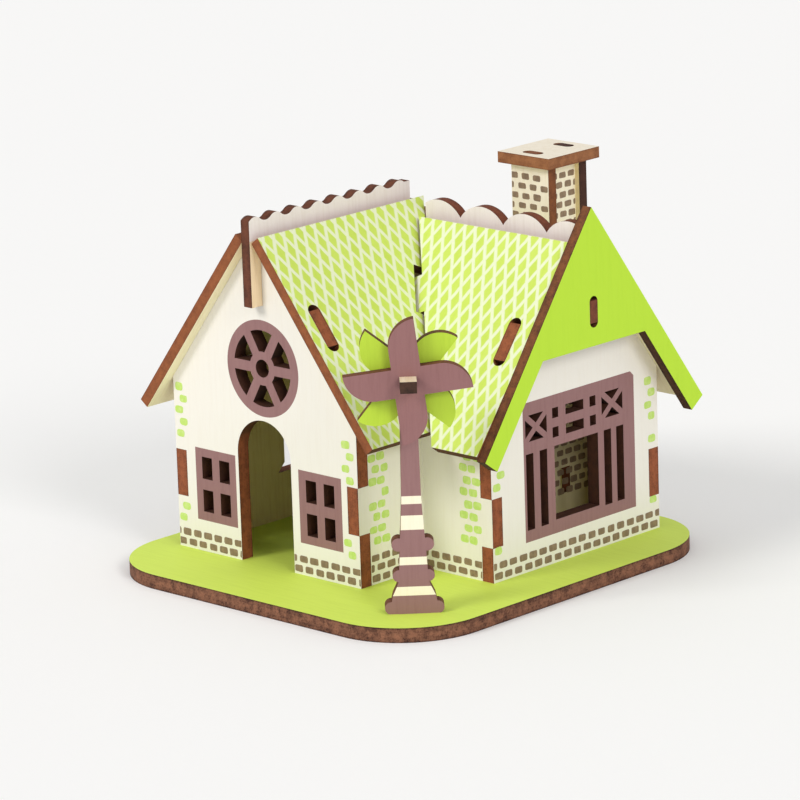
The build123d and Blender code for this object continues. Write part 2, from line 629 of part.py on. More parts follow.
def windmill_axle():
    """T-shaped strip lying flat: shank through the post and both sails, head behind the post."""
    back = -WALL - GAP
    shank = box2(-STRIP_W / 2, STRIP_W / 2, back, NOSE_AT)
    head = box2(-AXLE_HEAD_W / 2, AXLE_HEAD_W / 2, back - AXLE_HEAD_L, back)
    upright = post_plane(0)
    flat = Plane(origin=(POST_X, POST_Y, HUB_Z + THIN / 2), x_dir=-upright.x_dir, z_dir=(0, 0, 1))
    return plate(flat, shank + head, -THIN)


# ================================================================ base plate
def base_plate():
    x0, x1 = -BASE_LEFT, LEN_X + BASE_RIGHT
    y0, y1 = -BASE_FRONT, LEN_Y + BASE_BACK
    outline = Pos((x0 + x1) / 2, (y0 + y1) / 2) * RectangleRounded(x1 - x0, y1 - y0, BASE_CORNER)
    deep, wide = WALL + 2 * FIT, TAB + 2 * FIT
    slots = [Pos(x, WALL / 2) * Rectangle(wide, deep) for x in FRONT_TABS]
    slots += [Pos(x, NOTCH_Y + WALL / 2) * Rectangle(wide, deep) for x in INNER_FRONT_TABS]
    slots += [Pos(x, LEN_Y - WALL / 2) * Rectangle(wide, deep) for x in BACK_TABS]
    slots += [Pos(WALL / 2, y) * Rectangle(deep, wide) for y in LEFT_TABS]
    slots += [Pos(FRONT_W - WALL / 2, y) * Rectangle(deep, wide) for y in INNER_SIDE_TABS]
    slots += [Pos(LEN_X - WALL / 2, y) * Rectangle(deep, wide) for y in LATTICE_TABS]
    slots += [Pos(PARTITION_X - THIN / 2, y) * Rectangle(THIN + 2 * FIT, wide) for y in PARTITION_TABS]
    post = Pos(-WALL / 2, 0) * Rectangle(deep, FOOT_TAB + 2 * FIT)
    slots.append(Pos(POST_X, POST_Y) * Rot(0, 0, POST_FACING) * post)
    return plate(Plane.XY, cut(outline, slots), -WALL)


# ================================================================ build and write
PIECES = {
    "base_plate": base_plate(),
    "door_gable_wall": door_gable_wall(),
    "left_side_wall": left_side_wall(),
    "inner_side_wall": inner_side_wall(),
    "inner_front_wall": inner_front_wall(),
    "lattice_gable_wall": lattice_gable_wall(),
    "back_wall": back_wall(),
    "hearth_partition": hearth_partition(),
    "roof_left_outer": roof_left_outer(),
    "roof_left_inner": roof_left_inner(),
    "roof_right_front": roof_right_front(),
    "roof_right_back": roof_right_back(),
    "left_ridge_board": left_ridge_board(),
    "right_ridge_board": right_ridge_board(),
    "fascia_board": fascia_board(),
    "chimney_front": chimney_broad_plate(SHAFT_Y - SHAFT_D / 2),
    "chimney_back": chimney_broad_plate(SHAFT_Y + SHAFT_D / 2 - THIN),
    "chimney_left": chimney_side_plate(side_plate_centres()[0]),
    "chimney_right": chimney_side_plate(side_plate_centres()[1]),
    "chimney_cap": chimney_cap(),
    "windmill_post": windmill_post(),
    "windmill_axle": windmill_axle(),
    "sail_front": sail(FRONT_SAIL_AT, SAIL_TURN),
    "sail_rear": sail(REAR_SAIL_AT, SAIL_TURN + 45),
}

BASE_MIDDLE = Pos(-(LEN_X + BASE_RIGHT - BASE_LEFT) / 2, -(LEN_Y + BASE_BACK - BASE_FRONT) / 2, WALL)

os.makedirs("parts", exist_ok=True)
for name, piece in PIECES.items():
    placed = BASE_MIDDLE * piece
    export_step(placed, f"parts/{name}.step")
    size = placed.bounding_box().size
    print(f"{name:20s} {len(placed.solids())} solid  {size.X:6.2f} x {size.Y:6.2f} x {size.Z:6.2f} mm")
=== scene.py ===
# %% [markdown]
# # A laser-cut plywood cottage that slots together
#
# The real thing is a desk-top puzzle. A laser cuts flat pieces from two sheets of birch plywood, 3.0 and
# 2.3 mm thick, which are printed with lime, cream, purple and green inks before they are cut. The pieces
# slot together into an L-shaped house on a rounded base, with a pinwheel that turns beside the door.
#
# The cut pieces come from the CAD model and are never moved. This lesson gives them their finish: printed
# ink, bare veneer, and the browned edges that a laser leaves. It also adds the small printed dabs, the
# bricks and corner stones, as thin pieces made with Geometry Nodes.

# %% Load the cut pieces
import bpy
import bmesh
import json
from math import atan, cos, degrees, radians, sin
from mathutils import Matrix, Vector


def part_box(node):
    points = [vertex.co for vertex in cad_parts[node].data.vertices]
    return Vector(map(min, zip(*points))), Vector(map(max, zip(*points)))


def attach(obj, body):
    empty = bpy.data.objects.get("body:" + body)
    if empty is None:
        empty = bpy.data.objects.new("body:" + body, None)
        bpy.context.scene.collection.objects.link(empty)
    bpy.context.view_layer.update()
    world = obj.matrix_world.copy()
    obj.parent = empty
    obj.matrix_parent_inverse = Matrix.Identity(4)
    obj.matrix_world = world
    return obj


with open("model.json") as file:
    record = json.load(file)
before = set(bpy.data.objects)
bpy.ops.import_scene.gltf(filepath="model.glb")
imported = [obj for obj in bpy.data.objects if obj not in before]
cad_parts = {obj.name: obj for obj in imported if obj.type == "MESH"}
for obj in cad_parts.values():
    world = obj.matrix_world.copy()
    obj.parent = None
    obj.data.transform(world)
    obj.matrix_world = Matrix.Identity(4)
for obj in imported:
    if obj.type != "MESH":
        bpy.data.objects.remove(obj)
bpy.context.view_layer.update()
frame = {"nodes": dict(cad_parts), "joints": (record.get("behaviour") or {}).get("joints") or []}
MM = 0.001

# %% [markdown]
# ## The camera
#
# The house is small and was looked at from about 1.0 m away through a long lens, so its upright edges
# stay nearly parallel. A camera can be aimed with a Track To constraint, but an exact turn is easier to
# repeat: here its three axes are worked out from a heading, an elevation and a slight roll.

# %% Aim the camera
HEADING, ELEVATION, ROLL = radians(43.92), radians(14.60), radians(-1.92)
CAMERA_AT = (0.67578, -0.70327, 0.28769)
LENS_MM, SENSOR_MM = 223.68, 36
back = Vector((sin(HEADING) * cos(ELEVATION), -cos(HEADING) * cos(ELEVATION), sin(ELEVATION)))
level = Vector((cos(HEADING), sin(HEADING), 0))
upright = back.cross(level)
across = cos(ROLL) * level + sin(ROLL) * upright
above = cos(ROLL) * upright - sin(ROLL) * level

camera_data = bpy.data.cameras.new("camera")
camera_data.lens = LENS_MM
camera_data.sensor_width = SENSOR_MM
camera_data.clip_start, camera_data.clip_end = 0.05, 20
camera = bpy.data.objects.new("camera", camera_data)
turn = Matrix((across, above, back)).transposed().to_4x4()
camera.matrix_world = Matrix.Translation(CAMERA_AT) @ turn
bpy.context.scene.collection.objects.link(camera)
bpy.context.scene.camera = camera
print("camera looks down by", round(degrees(ELEVATION), 1), "degrees")

# %% [markdown]
# ## Floor and light
#
# The house stands on a wide white sheet in a white room. Two broad suns give soft shadows: the stronger
# one comes from the left of the door, the weaker one lights the lattice gable, and the white surroundings
# fill the rest. A sun is as bright on the far floor as on the near, so the floor stays even; a lamp would
# not.

# %% Build the stage
FLOOR_HALF = 6.0                            # metres
FLOOR_WHITE = (0.98, 0.98, 0.98, 1)
SUN_WARMTH = (1.0, 0.985, 0.96)
SUN_SPREAD = 20                             # degrees across the sun's disc
SUNS = (("key_sun", -15, 35, 1.2), ("side_sun", 75, 30, 0.9))      # azimuth, elevation, strength
ROOM_WHITE, ROOM_STRENGTH = (1.0, 1.0, 1.0, 1), 0.6


def plain_floor(size):
    mesh = bpy.data.meshes.new("floor")
    corners = [(-size, -size, 0), (size, -size, 0), (size, size, 0), (-size, size, 0)]
    mesh.from_pydata(corners, [], [(0, 1, 2, 3)])
    floor = bpy.data.objects.new("floor", mesh)
    bpy.context.scene.collection.objects.link(floor)
    paint = bpy.data.materials.new("floor_white")
    paint.use_nodes = True
    shader = paint.node_tree.nodes["Principled BSDF"]
    shader.inputs["Base Color"].default_value = FLOOR_WHITE
    shader.inputs["Roughness"].default_value = 0.9
    shader.inputs["Specular IOR Level"].default_value = 0.1
    mesh.materials.append(paint)
    return floor


def soft_sun(name, azimuth, elevation, strength):
    """Sun standing `azimuth` degrees round from the door gable's side, with a wide disc."""
    data = bpy.data.lights.new(name, "SUN")
    data.energy, data.angle, data.color = strength, radians(SUN_SPREAD), SUN_WARMTH
    lamp = bpy.data.objects.new(name, data)
    round_by, up_by = radians(azimuth), radians(elevation)
    towards = Vector((sin(round_by) * cos(up_by), -cos(round_by) * cos(up_by), sin(up_by)))
    lamp.rotation_euler = towards.to_track_quat("Z", "Y").to_euler()
    bpy.context.scene.collection.objects.link(lamp)


plain_floor(FLOOR_HALF)
for sun in SUNS:
    soft_sun(*sun)
world = bpy.data.worlds.new("white_room")
world.use_nodes = True
world.node_tree.nodes["Background"].inputs["Color"].default_value = ROOM_WHITE
world.node_tree.nodes["Background"].inputs["Strength"].default_value = ROOM_STRENGTH
bpy.context.scene.world = world
bpy.context.scene.view_settings.view_transform = "Standard"

# %% [markdown]
# ## Small helpers for node trees
#
# A material is a graph, and building a graph in code repeats three actions: add a node, give its inputs a
# value or a link, and read an output. Three short helpers keep the recipes that follow readable. Ink
# colours are written the way a paint chart gives them, as sRGB, and turned into linear light here.

# %% Helpers
def ink(code):
    """Linear RGBA from a paint chart's sRGB code."""
    levels = [int(code[i:i + 2], 16) / 255 for i in (1, 3, 5)]
    return (*[v / 12.92 if v <= 0.04045 else ((v + 0.055) / 1.055) ** 2.4 for v in levels], 1.0)


def add(tree, kind, inputs=None, **settings):
    """New node; an input given as a socket is linked, and any other value is set."""
    node = tree.nodes.new(kind)
    for name, value in settings.items():
        setattr(node, name, value)
    for key, value in (inputs or {}).items():
        if isinstance(value, bpy.types.NodeSocket):
            tree.links.new(value, node.inputs[key])
        else:
            node.inputs[key].default_value = value
    return node


def calc(tree, operation, *values):
    """Output of a Math node."""
    return add(tree, "ShaderNodeMath", dict(enumerate(values)), operation=operation).outputs[0]


def vector(tree, operation, *values):
    """Output of a Vector Math node: a number for dot products and lengths, else a vector."""
    node = add(tree, "ShaderNodeVectorMath", dict(enumerate(values)), operation=operation)
    return node.outputs["Value" if operation in ("DOT_PRODUCT", "LENGTH") else "Vector"]


def mix(tree, share, first, second):
    """Colour between two colours."""
    return add(tree, "ShaderNodeMix", {0: share, 6: first, 7: second}, data_type="RGBA").outputs[2]


def smooth(tree, value, low, high):
    """0 below `low`, 1 above `high`, with a soft step between."""
    inputs = {"Value": value, "From Min": low, "From Max": high}
    return add(tree, "ShaderNodeMapRange", inputs, interpolation_type="SMOOTHSTEP").outputs[0]


def new_group(name, kind, inputs, outputs):
    """Empty node group with named sockets, and the sockets to build between."""
    tree = bpy.data.node_groups.new(name, kind)
    for label, socket_type, value in inputs:
        socket = tree.interface.new_socket(label, in_out="INPUT", socket_type=socket_type)
        if value is not None:
            socket.default_value = value
    for label, socket_type in outputs:
        tree.interface.new_socket(label, in_out="OUTPUT", socket_type=socket_type)
    return tree, tree.nodes.new("NodeGroupInput").outputs, tree.nodes.new("NodeGroupOutput")


def use(tree, group, **inputs):
    """A group placed in a tree; underscores in the names of its inputs stand for spaces."""
    return add(tree, "ShaderNodeGroup", {k.replace("_", " "): v for k, v in inputs.items()},
               node_tree=group).outputs


print("dark brown in linear light:", [round(v, 3) for v in ink("#5a3624")[:3]])

# %% [markdown]
# ## Which side of the sheet is this?
#
# Every piece is a flat sheet with a printed face, a plain back and cut edges all round. One material has
# to show all three, and the surface normal tells them apart: along the sheet's own direction it is the
# face, against it the back, and across it a cut edge. Painting each polygon by hand would do it too, but
# the normal needs no change to the mesh. The group also gives the depth below the printed face.

# %% Node group: sheet sides
sheet_sides, given, result = new_group(
    "sheet_sides", "ShaderNodeTree",
    [("Normal", "NodeSocketVector", None), ("Position", "NodeSocketVector", None),
     ("Facing", "NodeSocketVector", (0, 0, 1)), ("Face At", "NodeSocketFloat", 0.0),
     ("Thickness", "NodeSocketFloat", 3.0)],
    [("Face", "NodeSocketFloat"), ("Back", "NodeSocketFloat"), ("Depth", "NodeSocketFloat")])
toward = vector(sheet_sides, "DOT_PRODUCT", given["Normal"], given["Facing"])
face = calc(sheet_sides, "GREATER_THAN", toward, 0.5)
behind = calc(sheet_sides, "LESS_THAN", toward, -0.5)
height = vector(sheet_sides, "DOT_PRODUCT", given["Position"], given["Facing"])
below = calc(sheet_sides, "SUBTRACT", given["Face At"], height)
depth = calc(sheet_sides, "DIVIDE", below, given["Thickness"])
sheet_sides.links.new(face, result.inputs["Face"])
sheet_sides.links.new(behind, result.inputs["Back"])
sheet_sides.links.new(depth, result.inputs["Depth"])
print("group", sheet_sides.name, "gives", [s.name for s in result.inputs if s.name])

# %% [markdown]
# ## Birch veneer
#
# The outer plies are rotary-cut birch: pale, with fine long streaks and a few darker ones. Ink over it is
# thin, so the streaks show through as slight changes of tone. A noise texture stretched along the grain
# gives the streaks, and a finer one gives the pores. The group takes any ground colour, bare or inked.

# %% Node group: veneer grain
GRAIN_SQUEEZE = 0.93        # share of the length along the grain that the noises don't see
STREAK_SHARE, PORE_SHARE = 0.65, 0.35
veneer_grain, given, result = new_group(
    "veneer_grain", "ShaderNodeTree",
    [("Position", "NodeSocketVector", None), ("Along Grain", "NodeSocketVector", (1, 0, 0)),
     ("Ground", "NodeSocketColor", ink("#f2e7cf")), ("Streak", "NodeSocketColor", ink("#d9bf92")),
     ("Amount", "NodeSocketFloat", 0.5)],
    [("Color", "NodeSocketColor"), ("Height", "NodeSocketFloat")])
along = vector(veneer_grain, "DOT_PRODUCT", given["Position"], given["Along Grain"])
pushed = calc(veneer_grain, "MULTIPLY", along, -GRAIN_SQUEEZE)
slide = add(veneer_grain, "ShaderNodeVectorMath", {0: given["Along Grain"], "Scale": pushed},
            operation="SCALE").outputs[0]
stretched = vector(veneer_grain, "ADD", given["Position"], slide)
streaks = add(veneer_grain, "ShaderNodeTexNoise",
              {"Vector": stretched, "Scale": 1.3, "Detail": 3.0, "Roughness": 0.6}).outputs[0]
pores = add(veneer_grain, "ShaderNodeTexNoise",
            {"Vector": stretched, "Scale": 6.5, "Detail": 2.0, "Roughness": 0.55}).outputs[0]
broad = smooth(veneer_grain, streaks, 0.42, 0.68)
fine = smooth(veneer_grain, pores, 0.48, 0.72)
together = calc(veneer_grain, "ADD", calc(veneer_grain, "MULTIPLY", broad, STREAK_SHARE),
                calc(veneer_grain, "MULTIPLY", fine, PORE_SHARE))
share = calc(veneer_grain, "MULTIPLY", together, given["Amount"])
grained = mix(veneer_grain, share, given["Ground"], given["Streak"])
veneer_grain.links.new(grained, result.inputs["Color"])
veneer_grain.links.new(calc(veneer_grain, "SUBTRACT", 0.0, together), result.inputs["Height"])
print("group", veneer_grain.name, "has", len(veneer_grain.nodes), "nodes")

# %% [markdown]
# ## The laser's edge
#
# A laser burns its way through, so every cut edge is brown: darkest at the two faces of the sheet, warmer
# in the middle, and mottled where the glue and the end grain charred unevenly. The cross ply in the
# middle shows as a slightly different band. Depth below the face drives the bands, and two noises scaled
# in millimetres give the mottling.

# %% Node group: laser edge
MOTTLE_BURN, GRIT_BURN, PLY_BURN, RIM_BURN = 0.55, 0.35, 0.12, 0.45     # what each adds to the char
laser_edge, given, result = new_group(
    "laser_edge", "ShaderNodeTree",
    [("Position", "NodeSocketVector", None), ("Depth", "NodeSocketFloat", 0.5),
     ("Toast", "NodeSocketColor", ink("#8f5535")), ("Char", "NodeSocketColor", ink("#5c3524")),
     ("Burn", "NodeSocketFloat", 0.5)],
    [("Color", "NodeSocketColor"), ("Height", "NodeSocketFloat")])
from_middle = calc(laser_edge, "ABSOLUTE", calc(laser_edge, "SUBTRACT", given["Depth"], 0.5))
rim = smooth(laser_edge, from_middle, 0.36, 0.5)
ply = smooth(laser_edge, from_middle, 0.13, 0.19)
mottle = add(laser_edge, "ShaderNodeTexNoise",
             {"Vector": given["Position"], "Scale": 0.55, "Detail": 4.0, "Roughness": 0.7}).outputs[0]
specks = add(laser_edge, "ShaderNodeTexNoise",
             {"Vector": given["Position"], "Scale": 3.2, "Detail": 2.0, "Roughness": 0.6}).outputs[0]
uneven = smooth(laser_edge, mottle, 0.35, 0.7)
grit = smooth(laser_edge, specks, 0.45, 0.75)
burnt = calc(laser_edge, "MULTIPLY", uneven, MOTTLE_BURN)
for part, weight in ((grit, GRIT_BURN), (ply, PLY_BURN), (rim, RIM_BURN)):
    burnt = calc(laser_edge, "ADD", burnt, calc(laser_edge, "MULTIPLY", part, weight))
burnt = calc(laser_edge, "MULTIPLY", burnt, given["Burn"])
share = add(laser_edge, "ShaderNodeClamp", {"Value": burnt}).outputs[0]
laser_edge.links.new(mix(laser_edge, share, given["Toast"], given["Char"]), result.inputs["Color"])
laser_edge.links.new(calc(laser_edge, "SUBTRACT", specks, ply), result.inputs["Height"])
print("group", laser_edge.name, "has", len(laser_edge.nodes), "nodes")

# %% [markdown]
# ## Printed panels and discs
#
# The window frames, the rose window and the bands on the post are flat areas of ink. The cut-outs of the
# panes are real holes, so the ink only needs an outer outline. A panel is a rectangle that may have its
# two upper corners cut off; a disc is a distance from a centre. Both are masks over the sheet, in the
# object's own coordinates. The same masks show where the laser cut through ink, which leaves soot.

# %% Node groups: ink panel and ink disc
ink_panel, given, result = new_group(
    "ink_panel", "ShaderNodeTree",
    [("Position", "NodeSocketVector", None), ("Centre", "NodeSocketVector", None),
     ("Half Size", "NodeSocketVector", (5, 5, 5)), ("Cut Corner", "NodeSocketFloat", 0.0)],
    [("Mask", "NodeSocketFloat")])
offset = vector(ink_panel, "SUBTRACT", given["Position"], given["Centre"])
away = vector(ink_panel, "ABSOLUTE", offset)
over, higher = [add(ink_panel, "ShaderNodeSeparateXYZ",
                    {0: vector(ink_panel, "SUBTRACT", measured, given["Half Size"])})
                for measured in (away, offset)]
sideways = calc(ink_panel, "MAXIMUM", over.outputs[0], over.outputs[1])
outside = calc(ink_panel, "MAXIMUM", sideways, over.outputs[2])
near_top = calc(ink_panel, "ADD", higher.outputs[2], given["Cut Corner"])
past_corner = calc(ink_panel, "ADD", sideways, near_top)
inside = calc(ink_panel, "LESS_THAN", calc(ink_panel, "MAXIMUM", outside, past_corner), 0.0)
ink_panel.links.new(inside, result.inputs["Mask"])

ink_disc, given, result = new_group(
    "ink_disc", "ShaderNodeTree",
    [("Position", "NodeSocketVector", None), ("Centre", "NodeSocketVector", None),
     ("Radius", "NodeSocketFloat", 10.0)],
    [("Mask", "NodeSocketFloat")])
reach = vector(ink_disc, "LENGTH", vector(ink_disc, "SUBTRACT", given["Position"], given["Centre"]))
ink_disc.links.new(calc(ink_disc, "LESS_THAN", reach, given["Radius"]), result.inputs["Mask"])
print("groups", ink_panel.name, "and", ink_disc.name)

# %% [markdown]
# ## Diamond shingles
#
# The roof print is a net of pale lines over green, so that each mesh of the net reads as one long
# shingle. The two families of lines run down the slope at mirrored angles. For each family, the position
# is turned into a count of lines; its distance from the nearest whole number is the distance to a line.
# Printing the net in the shader keeps thousands of shingles out of the mesh.

# %% Node group: shingle net
SHINGLE_WIDTH, SHINGLE_LENGTH = 2.91, 6.45      # mm, across and down the slope
LINE_WANDER = 0.12                              # in shingle widths
SOFT_FROM, SOFT_TO = 0.28, 0.75                 # a line's soft rim, as shares of its setting
shingle_net, given, result = new_group(
    "shingle_net", "ShaderNodeTree",
    [("Position", "NodeSocketVector", None), ("Level", "NodeSocketVector", (1, 0, 0)),
     ("Down Slope", "NodeSocketVector", (0, 0, -1)), ("Shingle Width", "NodeSocketFloat", SHINGLE_WIDTH),
     ("Shingle Length", "NodeSocketFloat", SHINGLE_LENGTH), ("Line", "NodeSocketFloat", 0.28)],
    [("Mask", "NodeSocketFloat"), ("Tone", "NodeSocketFloat")])
wobble = add(shingle_net, "ShaderNodeTexNoise",
             {"Vector": given["Position"], "Scale": 0.45, "Detail": 1.0}).outputs[0]
counts = calc(shingle_net, "DIVIDE", vector(shingle_net, "DOT_PRODUCT", given["Position"], given["Level"]),
              given["Shingle Width"])
lengths = calc(shingle_net, "DIVIDE",
               vector(shingle_net, "DOT_PRODUCT", given["Position"], given["Down Slope"]),
               given["Shingle Length"])
counts = calc(shingle_net, "ADD", counts, calc(shingle_net, "MULTIPLY", wobble, LINE_WANDER))
falling = calc(shingle_net, "ADD", counts, lengths)
rising = calc(shingle_net, "SUBTRACT", counts, lengths)
near = []
for family in (falling, rising):
    part = calc(shingle_net, "FRACT", family)
    from_centre = calc(shingle_net, "ABSOLUTE", calc(shingle_net, "SUBTRACT", part, 0.5))
    near.append(calc(shingle_net, "SUBTRACT", 0.5, from_centre))
nearest = calc(shingle_net, "MINIMUM", *near)
inner_rim = calc(shingle_net, "MULTIPLY", given["Line"], SOFT_FROM)
outer_rim = calc(shingle_net, "MULTIPLY", given["Line"], SOFT_TO)
line = calc(shingle_net, "SUBTRACT", 1.0, smooth(shingle_net, nearest, inner_rim, outer_rim))
whole = calc(shingle_net, "ADD", calc(shingle_net, "MULTIPLY", calc(shingle_net, "FLOOR", falling), 0.37),
             calc(shingle_net, "MULTIPLY", calc(shingle_net, "FLOOR", rising), 0.71))
tone = add(shingle_net, "ShaderNodeTexWhiteNoise", {"W": whole}, noise_dimensions="1D").outputs["Value"]
shingle_net.links.new(line, result.inputs["Mask"])
shingle_net.links.new(tone, result.inputs["Tone"])
print("a shingle is", SHINGLE_WIDTH, "by", SHINGLE_LENGTH, "mm on the slope")

# %% [markdown]
# ## The plywood material
#
# All pieces share one recipe: the veneer and laser edge groups make wood and burn, and the sheet's sides
# choose between them. What differs is the ink on the face, so the recipe takes a function that paints it.
# Edges that face down lie in shadow, so they are darkened towards the soot colour: this is painted shade.
# Shader values that are the same all over stay on the shader's own sockets.

# %% The plywood recipe
TEXTURE_MM = (1 / MM, 1 / MM, 1 / MM)      # object coordinates are metres; patterns are in millimetres
BARE, BARE_STREAK = ink("#ecd9b4"), ink("#cfae7c")
# One dark brown serves twice: the soot that a cut through printed ink leaves, and the painted shade on
# edges that face down.
SOOT_AND_SHADE, SOOT_SHARE = ink("#2a1b18"), 0.8      # what a cut through printed ink leaves on the edge
SHADE_UNDER = 0.7                                # share of painted shade, in the soot colour, on edges that face down
ROUGH_EDGE, ROUGH_FACE = 0.82, 0.58
SHEEN = 0.3                                 # specular level of wood and dry ink
RELIEF, RELIEF_DEPTH = 0.25, 0.00006        # strength, and depth in metres


class Sheet:
    """The nodes that every plywood material starts with."""

    def __init__(self, name, facing, face_at, thickness, grain):
        self.material = bpy.data.materials.new(name)
        self.material.use_nodes = True
        self.tree = self.material.node_tree
        self.shader = self.tree.nodes["Principled BSDF"]
        coordinates = add(self.tree, "ShaderNodeTexCoord")
        scaled = add(self.tree, "ShaderNodeMapping", {"Vector": coordinates.outputs["Object"],
                                                      "Scale": TEXTURE_MM})
        self.position = scaled.outputs[0]
        self.sides = use(self.tree, sheet_sides, Normal=coordinates.outputs["Normal"], Facing=facing,
                         Position=self.position, Face_At=face_at, Thickness=thickness)
        self.grain = grain
        self.soot = None
        # Mask of surfaces that face down, for the painted shade on their cut edges.
        upward = add(self.tree, "ShaderNodeSeparateXYZ", {0: coordinates.outputs["Normal"]}).outputs[2]
        self.under = smooth(self.tree, calc(self.tree, "MULTIPLY", upward, -1.0), 0.3, 0.55)

    def veneer(self, ground, streak, amount):
        return use(self.tree, veneer_grain, Position=self.position, Along_Grain=self.grain,
                   Ground=ground, Streak=streak, Amount=amount)


def plywood(name, facing, face_at, thickness, grain, paint, back, toast, char, burn):
    """Plywood material. `paint` and `back` are functions that give a colour for the sheet's two sides."""
    sheet = Sheet(name, facing, face_at, thickness, grain)
    tree = sheet.tree
    edge = use(tree, laser_edge, Position=sheet.position, Depth=sheet.sides["Depth"],
               Toast=toast, Char=char, Burn=burn)
    front = paint(sheet)
    rear = back(sheet)
    cut = edge["Color"]
    if sheet.soot:
        cut = mix(tree, calc(tree, "MULTIPLY", sheet.soot, SOOT_SHARE), cut, SOOT_AND_SHADE)
    # Painted shade: cut edges that face down are darkened towards the soot colour.
    cut = mix(tree, calc(tree, "MULTIPLY", sheet.under, SHADE_UNDER), cut, SOOT_AND_SHADE)
    skin = mix(tree, sheet.sides["Back"], front, rear)
    flat = calc(tree, "ADD", sheet.sides["Face"], sheet.sides["Back"])
    colour = mix(tree, flat, cut, skin)
    tree.links.new(colour, sheet.shader.inputs["Base Color"])
    pores = sheet.veneer(BARE, BARE_STREAK, 0.5)
    relief = add(tree, "ShaderNodeMix", {0: flat, 2: edge["Height"], 3: pores["Height"]}).outputs[0]
    bump = add(tree, "ShaderNodeBump", {"Height": relief, "Strength": RELIEF, "Distance": RELIEF_DEPTH})
    tree.links.new(bump.outputs[0], sheet.shader.inputs["Normal"])
    rough = add(tree, "ShaderNodeMix", {0: flat, 2: ROUGH_EDGE, 3: ROUGH_FACE}).outputs[0]
    tree.links.new(rough, sheet.shader.inputs["Roughness"])
    sheet.shader.inputs["Specular IOR Level"].default_value = SHEEN
    return sheet.material


def plain(colour, streak, amount):
    """Paint function: one ink, with the veneer showing through it by `amount`."""
    return lambda sheet: sheet.veneer(ink(colour), ink(streak), amount)["Color"]


bare_back = plain("#f4e3b4", "#d9bf88", 0.5)
print("plywood recipe ready")

# %% [markdown]
# ## Where the pieces are
#
# Prints are placed on the walls by measures from a wall's own corner, as a print shop would do. One
# helper gives a printed face its corner, the direction across it and its outward direction. The corner is
# read from the box of the loaded piece, so the prints move with a wall when the CAD model changes.

# %% Faces of the house
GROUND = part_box("base_plate")[1].z          # metres


def face_at(node, facing):
    """Matrix of a wall's face: x runs across it as seen from outside, y up, z outwards."""
    low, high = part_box(node)
    normal = Vector(facing)
    across_wall = Vector((0, 0, 1)).cross(normal)
    corner = Vector([high[i] if (normal[i] > 0.5 or across_wall[i] < -0.5) else low[i] for i in range(3)])
    corner.z = max(low.z, GROUND)
    place = Matrix((across_wall, Vector((0, 0, 1)), normal)).transposed().to_4x4()
    return Matrix.Translation(corner) @ place


FRONT, RIGHT, BACK, LEFT = (0, -1, 0), (1, 0, 0), (0, 1, 0), (-1, 0, 0)
door_face = face_at("door_gable_wall", FRONT)
lattice_face = face_at("lattice_gable_wall", RIGHT)


def width_of(node, facing):
    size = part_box(node)[1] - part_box(node)[0]
    return (size.x if abs(facing[1]) > 0.5 else size.y) / MM


def on_face(matrix, x, y):
    """Point of a face, in the object's millimetres."""
    return matrix @ Vector((x * MM, y * MM, 0)) / MM


print("door gable is", round(width_of("door_gable_wall", FRONT), 1), "mm wide")

# %% [markdown]
# ## Walls
#
# The walls are cream, printed on the outside. The door gable has two purple window frames and the rose
# window's disc; the lattice gable has one large purple panel with its top corners cut off. The purple ink
# is a dusty, greyed one, a little darker where the streaks of the veneer take more of it.

# %% Wall materials
CREAM, CREAM_STREAK = "#f1ede4", "#e6ddce"
PURPLE, PURPLE_STREAK = "#96706f", "#855f5e"
TOAST, CHAR = ink("#a05a39"), ink("#472519")
WALL_MM, ROOF_MM = [round((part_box(node)[1].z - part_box(node)[0].z) / MM, 3)
                    for node in ("base_plate", "chimney_cap")]           # the two sheets' thickness
DOOR_WINDOWS = ((11.35, 14.2, 11.6, 15.25), (40.95, 14.3, 11.9, 15.2))     # centre x, y, width, height
ROSE = (26.1, 41.3, 10.0)                                                  # centre x, y, radius
LATTICE_PANEL = (26.5, 20.45, 33.6, 28.7, 1.0)             # centre x, y, width, height, corner
cream = plain(CREAM, CREAM_STREAK, 0.2)


def purple_over(sheet, ground, masks):
    purple = sheet.veneer(ink(PURPLE), ink(PURPLE_STREAK), 0.5)["Color"]
    for mask in masks:
        ground = mix(sheet.tree, mask, ground, purple)
        sheet.soot = calc(sheet.tree, "MAXIMUM", sheet.soot or 0.0, mask)
    return ground


def paint_door_gable(sheet):
    masks = []
    for x, y, width, height in DOOR_WINDOWS:
        masks.append(use(sheet.tree, ink_panel, Position=sheet.position, Centre=on_face(door_face, x, y),
                         Half_Size=(width / 2, WALL_MM, height / 2))["Mask"])
    x, y, radius = ROSE
    masks.append(use(sheet.tree, ink_disc, Position=sheet.position, Centre=on_face(door_face, x, y),
                     Radius=radius)["Mask"])
    return purple_over(sheet, cream(sheet), masks)


def paint_lattice_gable(sheet):
    x, y, width, height, corner = LATTICE_PANEL
    panel = use(sheet.tree, ink_panel, Position=sheet.position, Centre=on_face(lattice_face, x, y),
                Half_Size=(WALL_MM, width / 2, height / 2), Cut_Corner=corner)["Mask"]
    return purple_over(sheet, cream(sheet), [panel])


def dress(node, material):
    """Give a CAD piece its material; its mesh is left as it is."""
    slots = frame["nodes"][node].material_slots
    if not slots:
        frame["nodes"][node].data.materials.append(material)
    for slot in slots:
        slot.material = material


def dress_flat(node, facing, thickness, paint, back, toast, char, burn, grain=(0, 0, 1)):
    """Dress a sheet that faces along an axis; its printed face is found from its box."""
    low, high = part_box(node)
    at = max(Vector(facing).dot(low), Vector(facing).dot(high)) / MM
    dress(node, plywood(node + "_ply", facing, at, thickness, grain, paint, back, toast, char, burn))


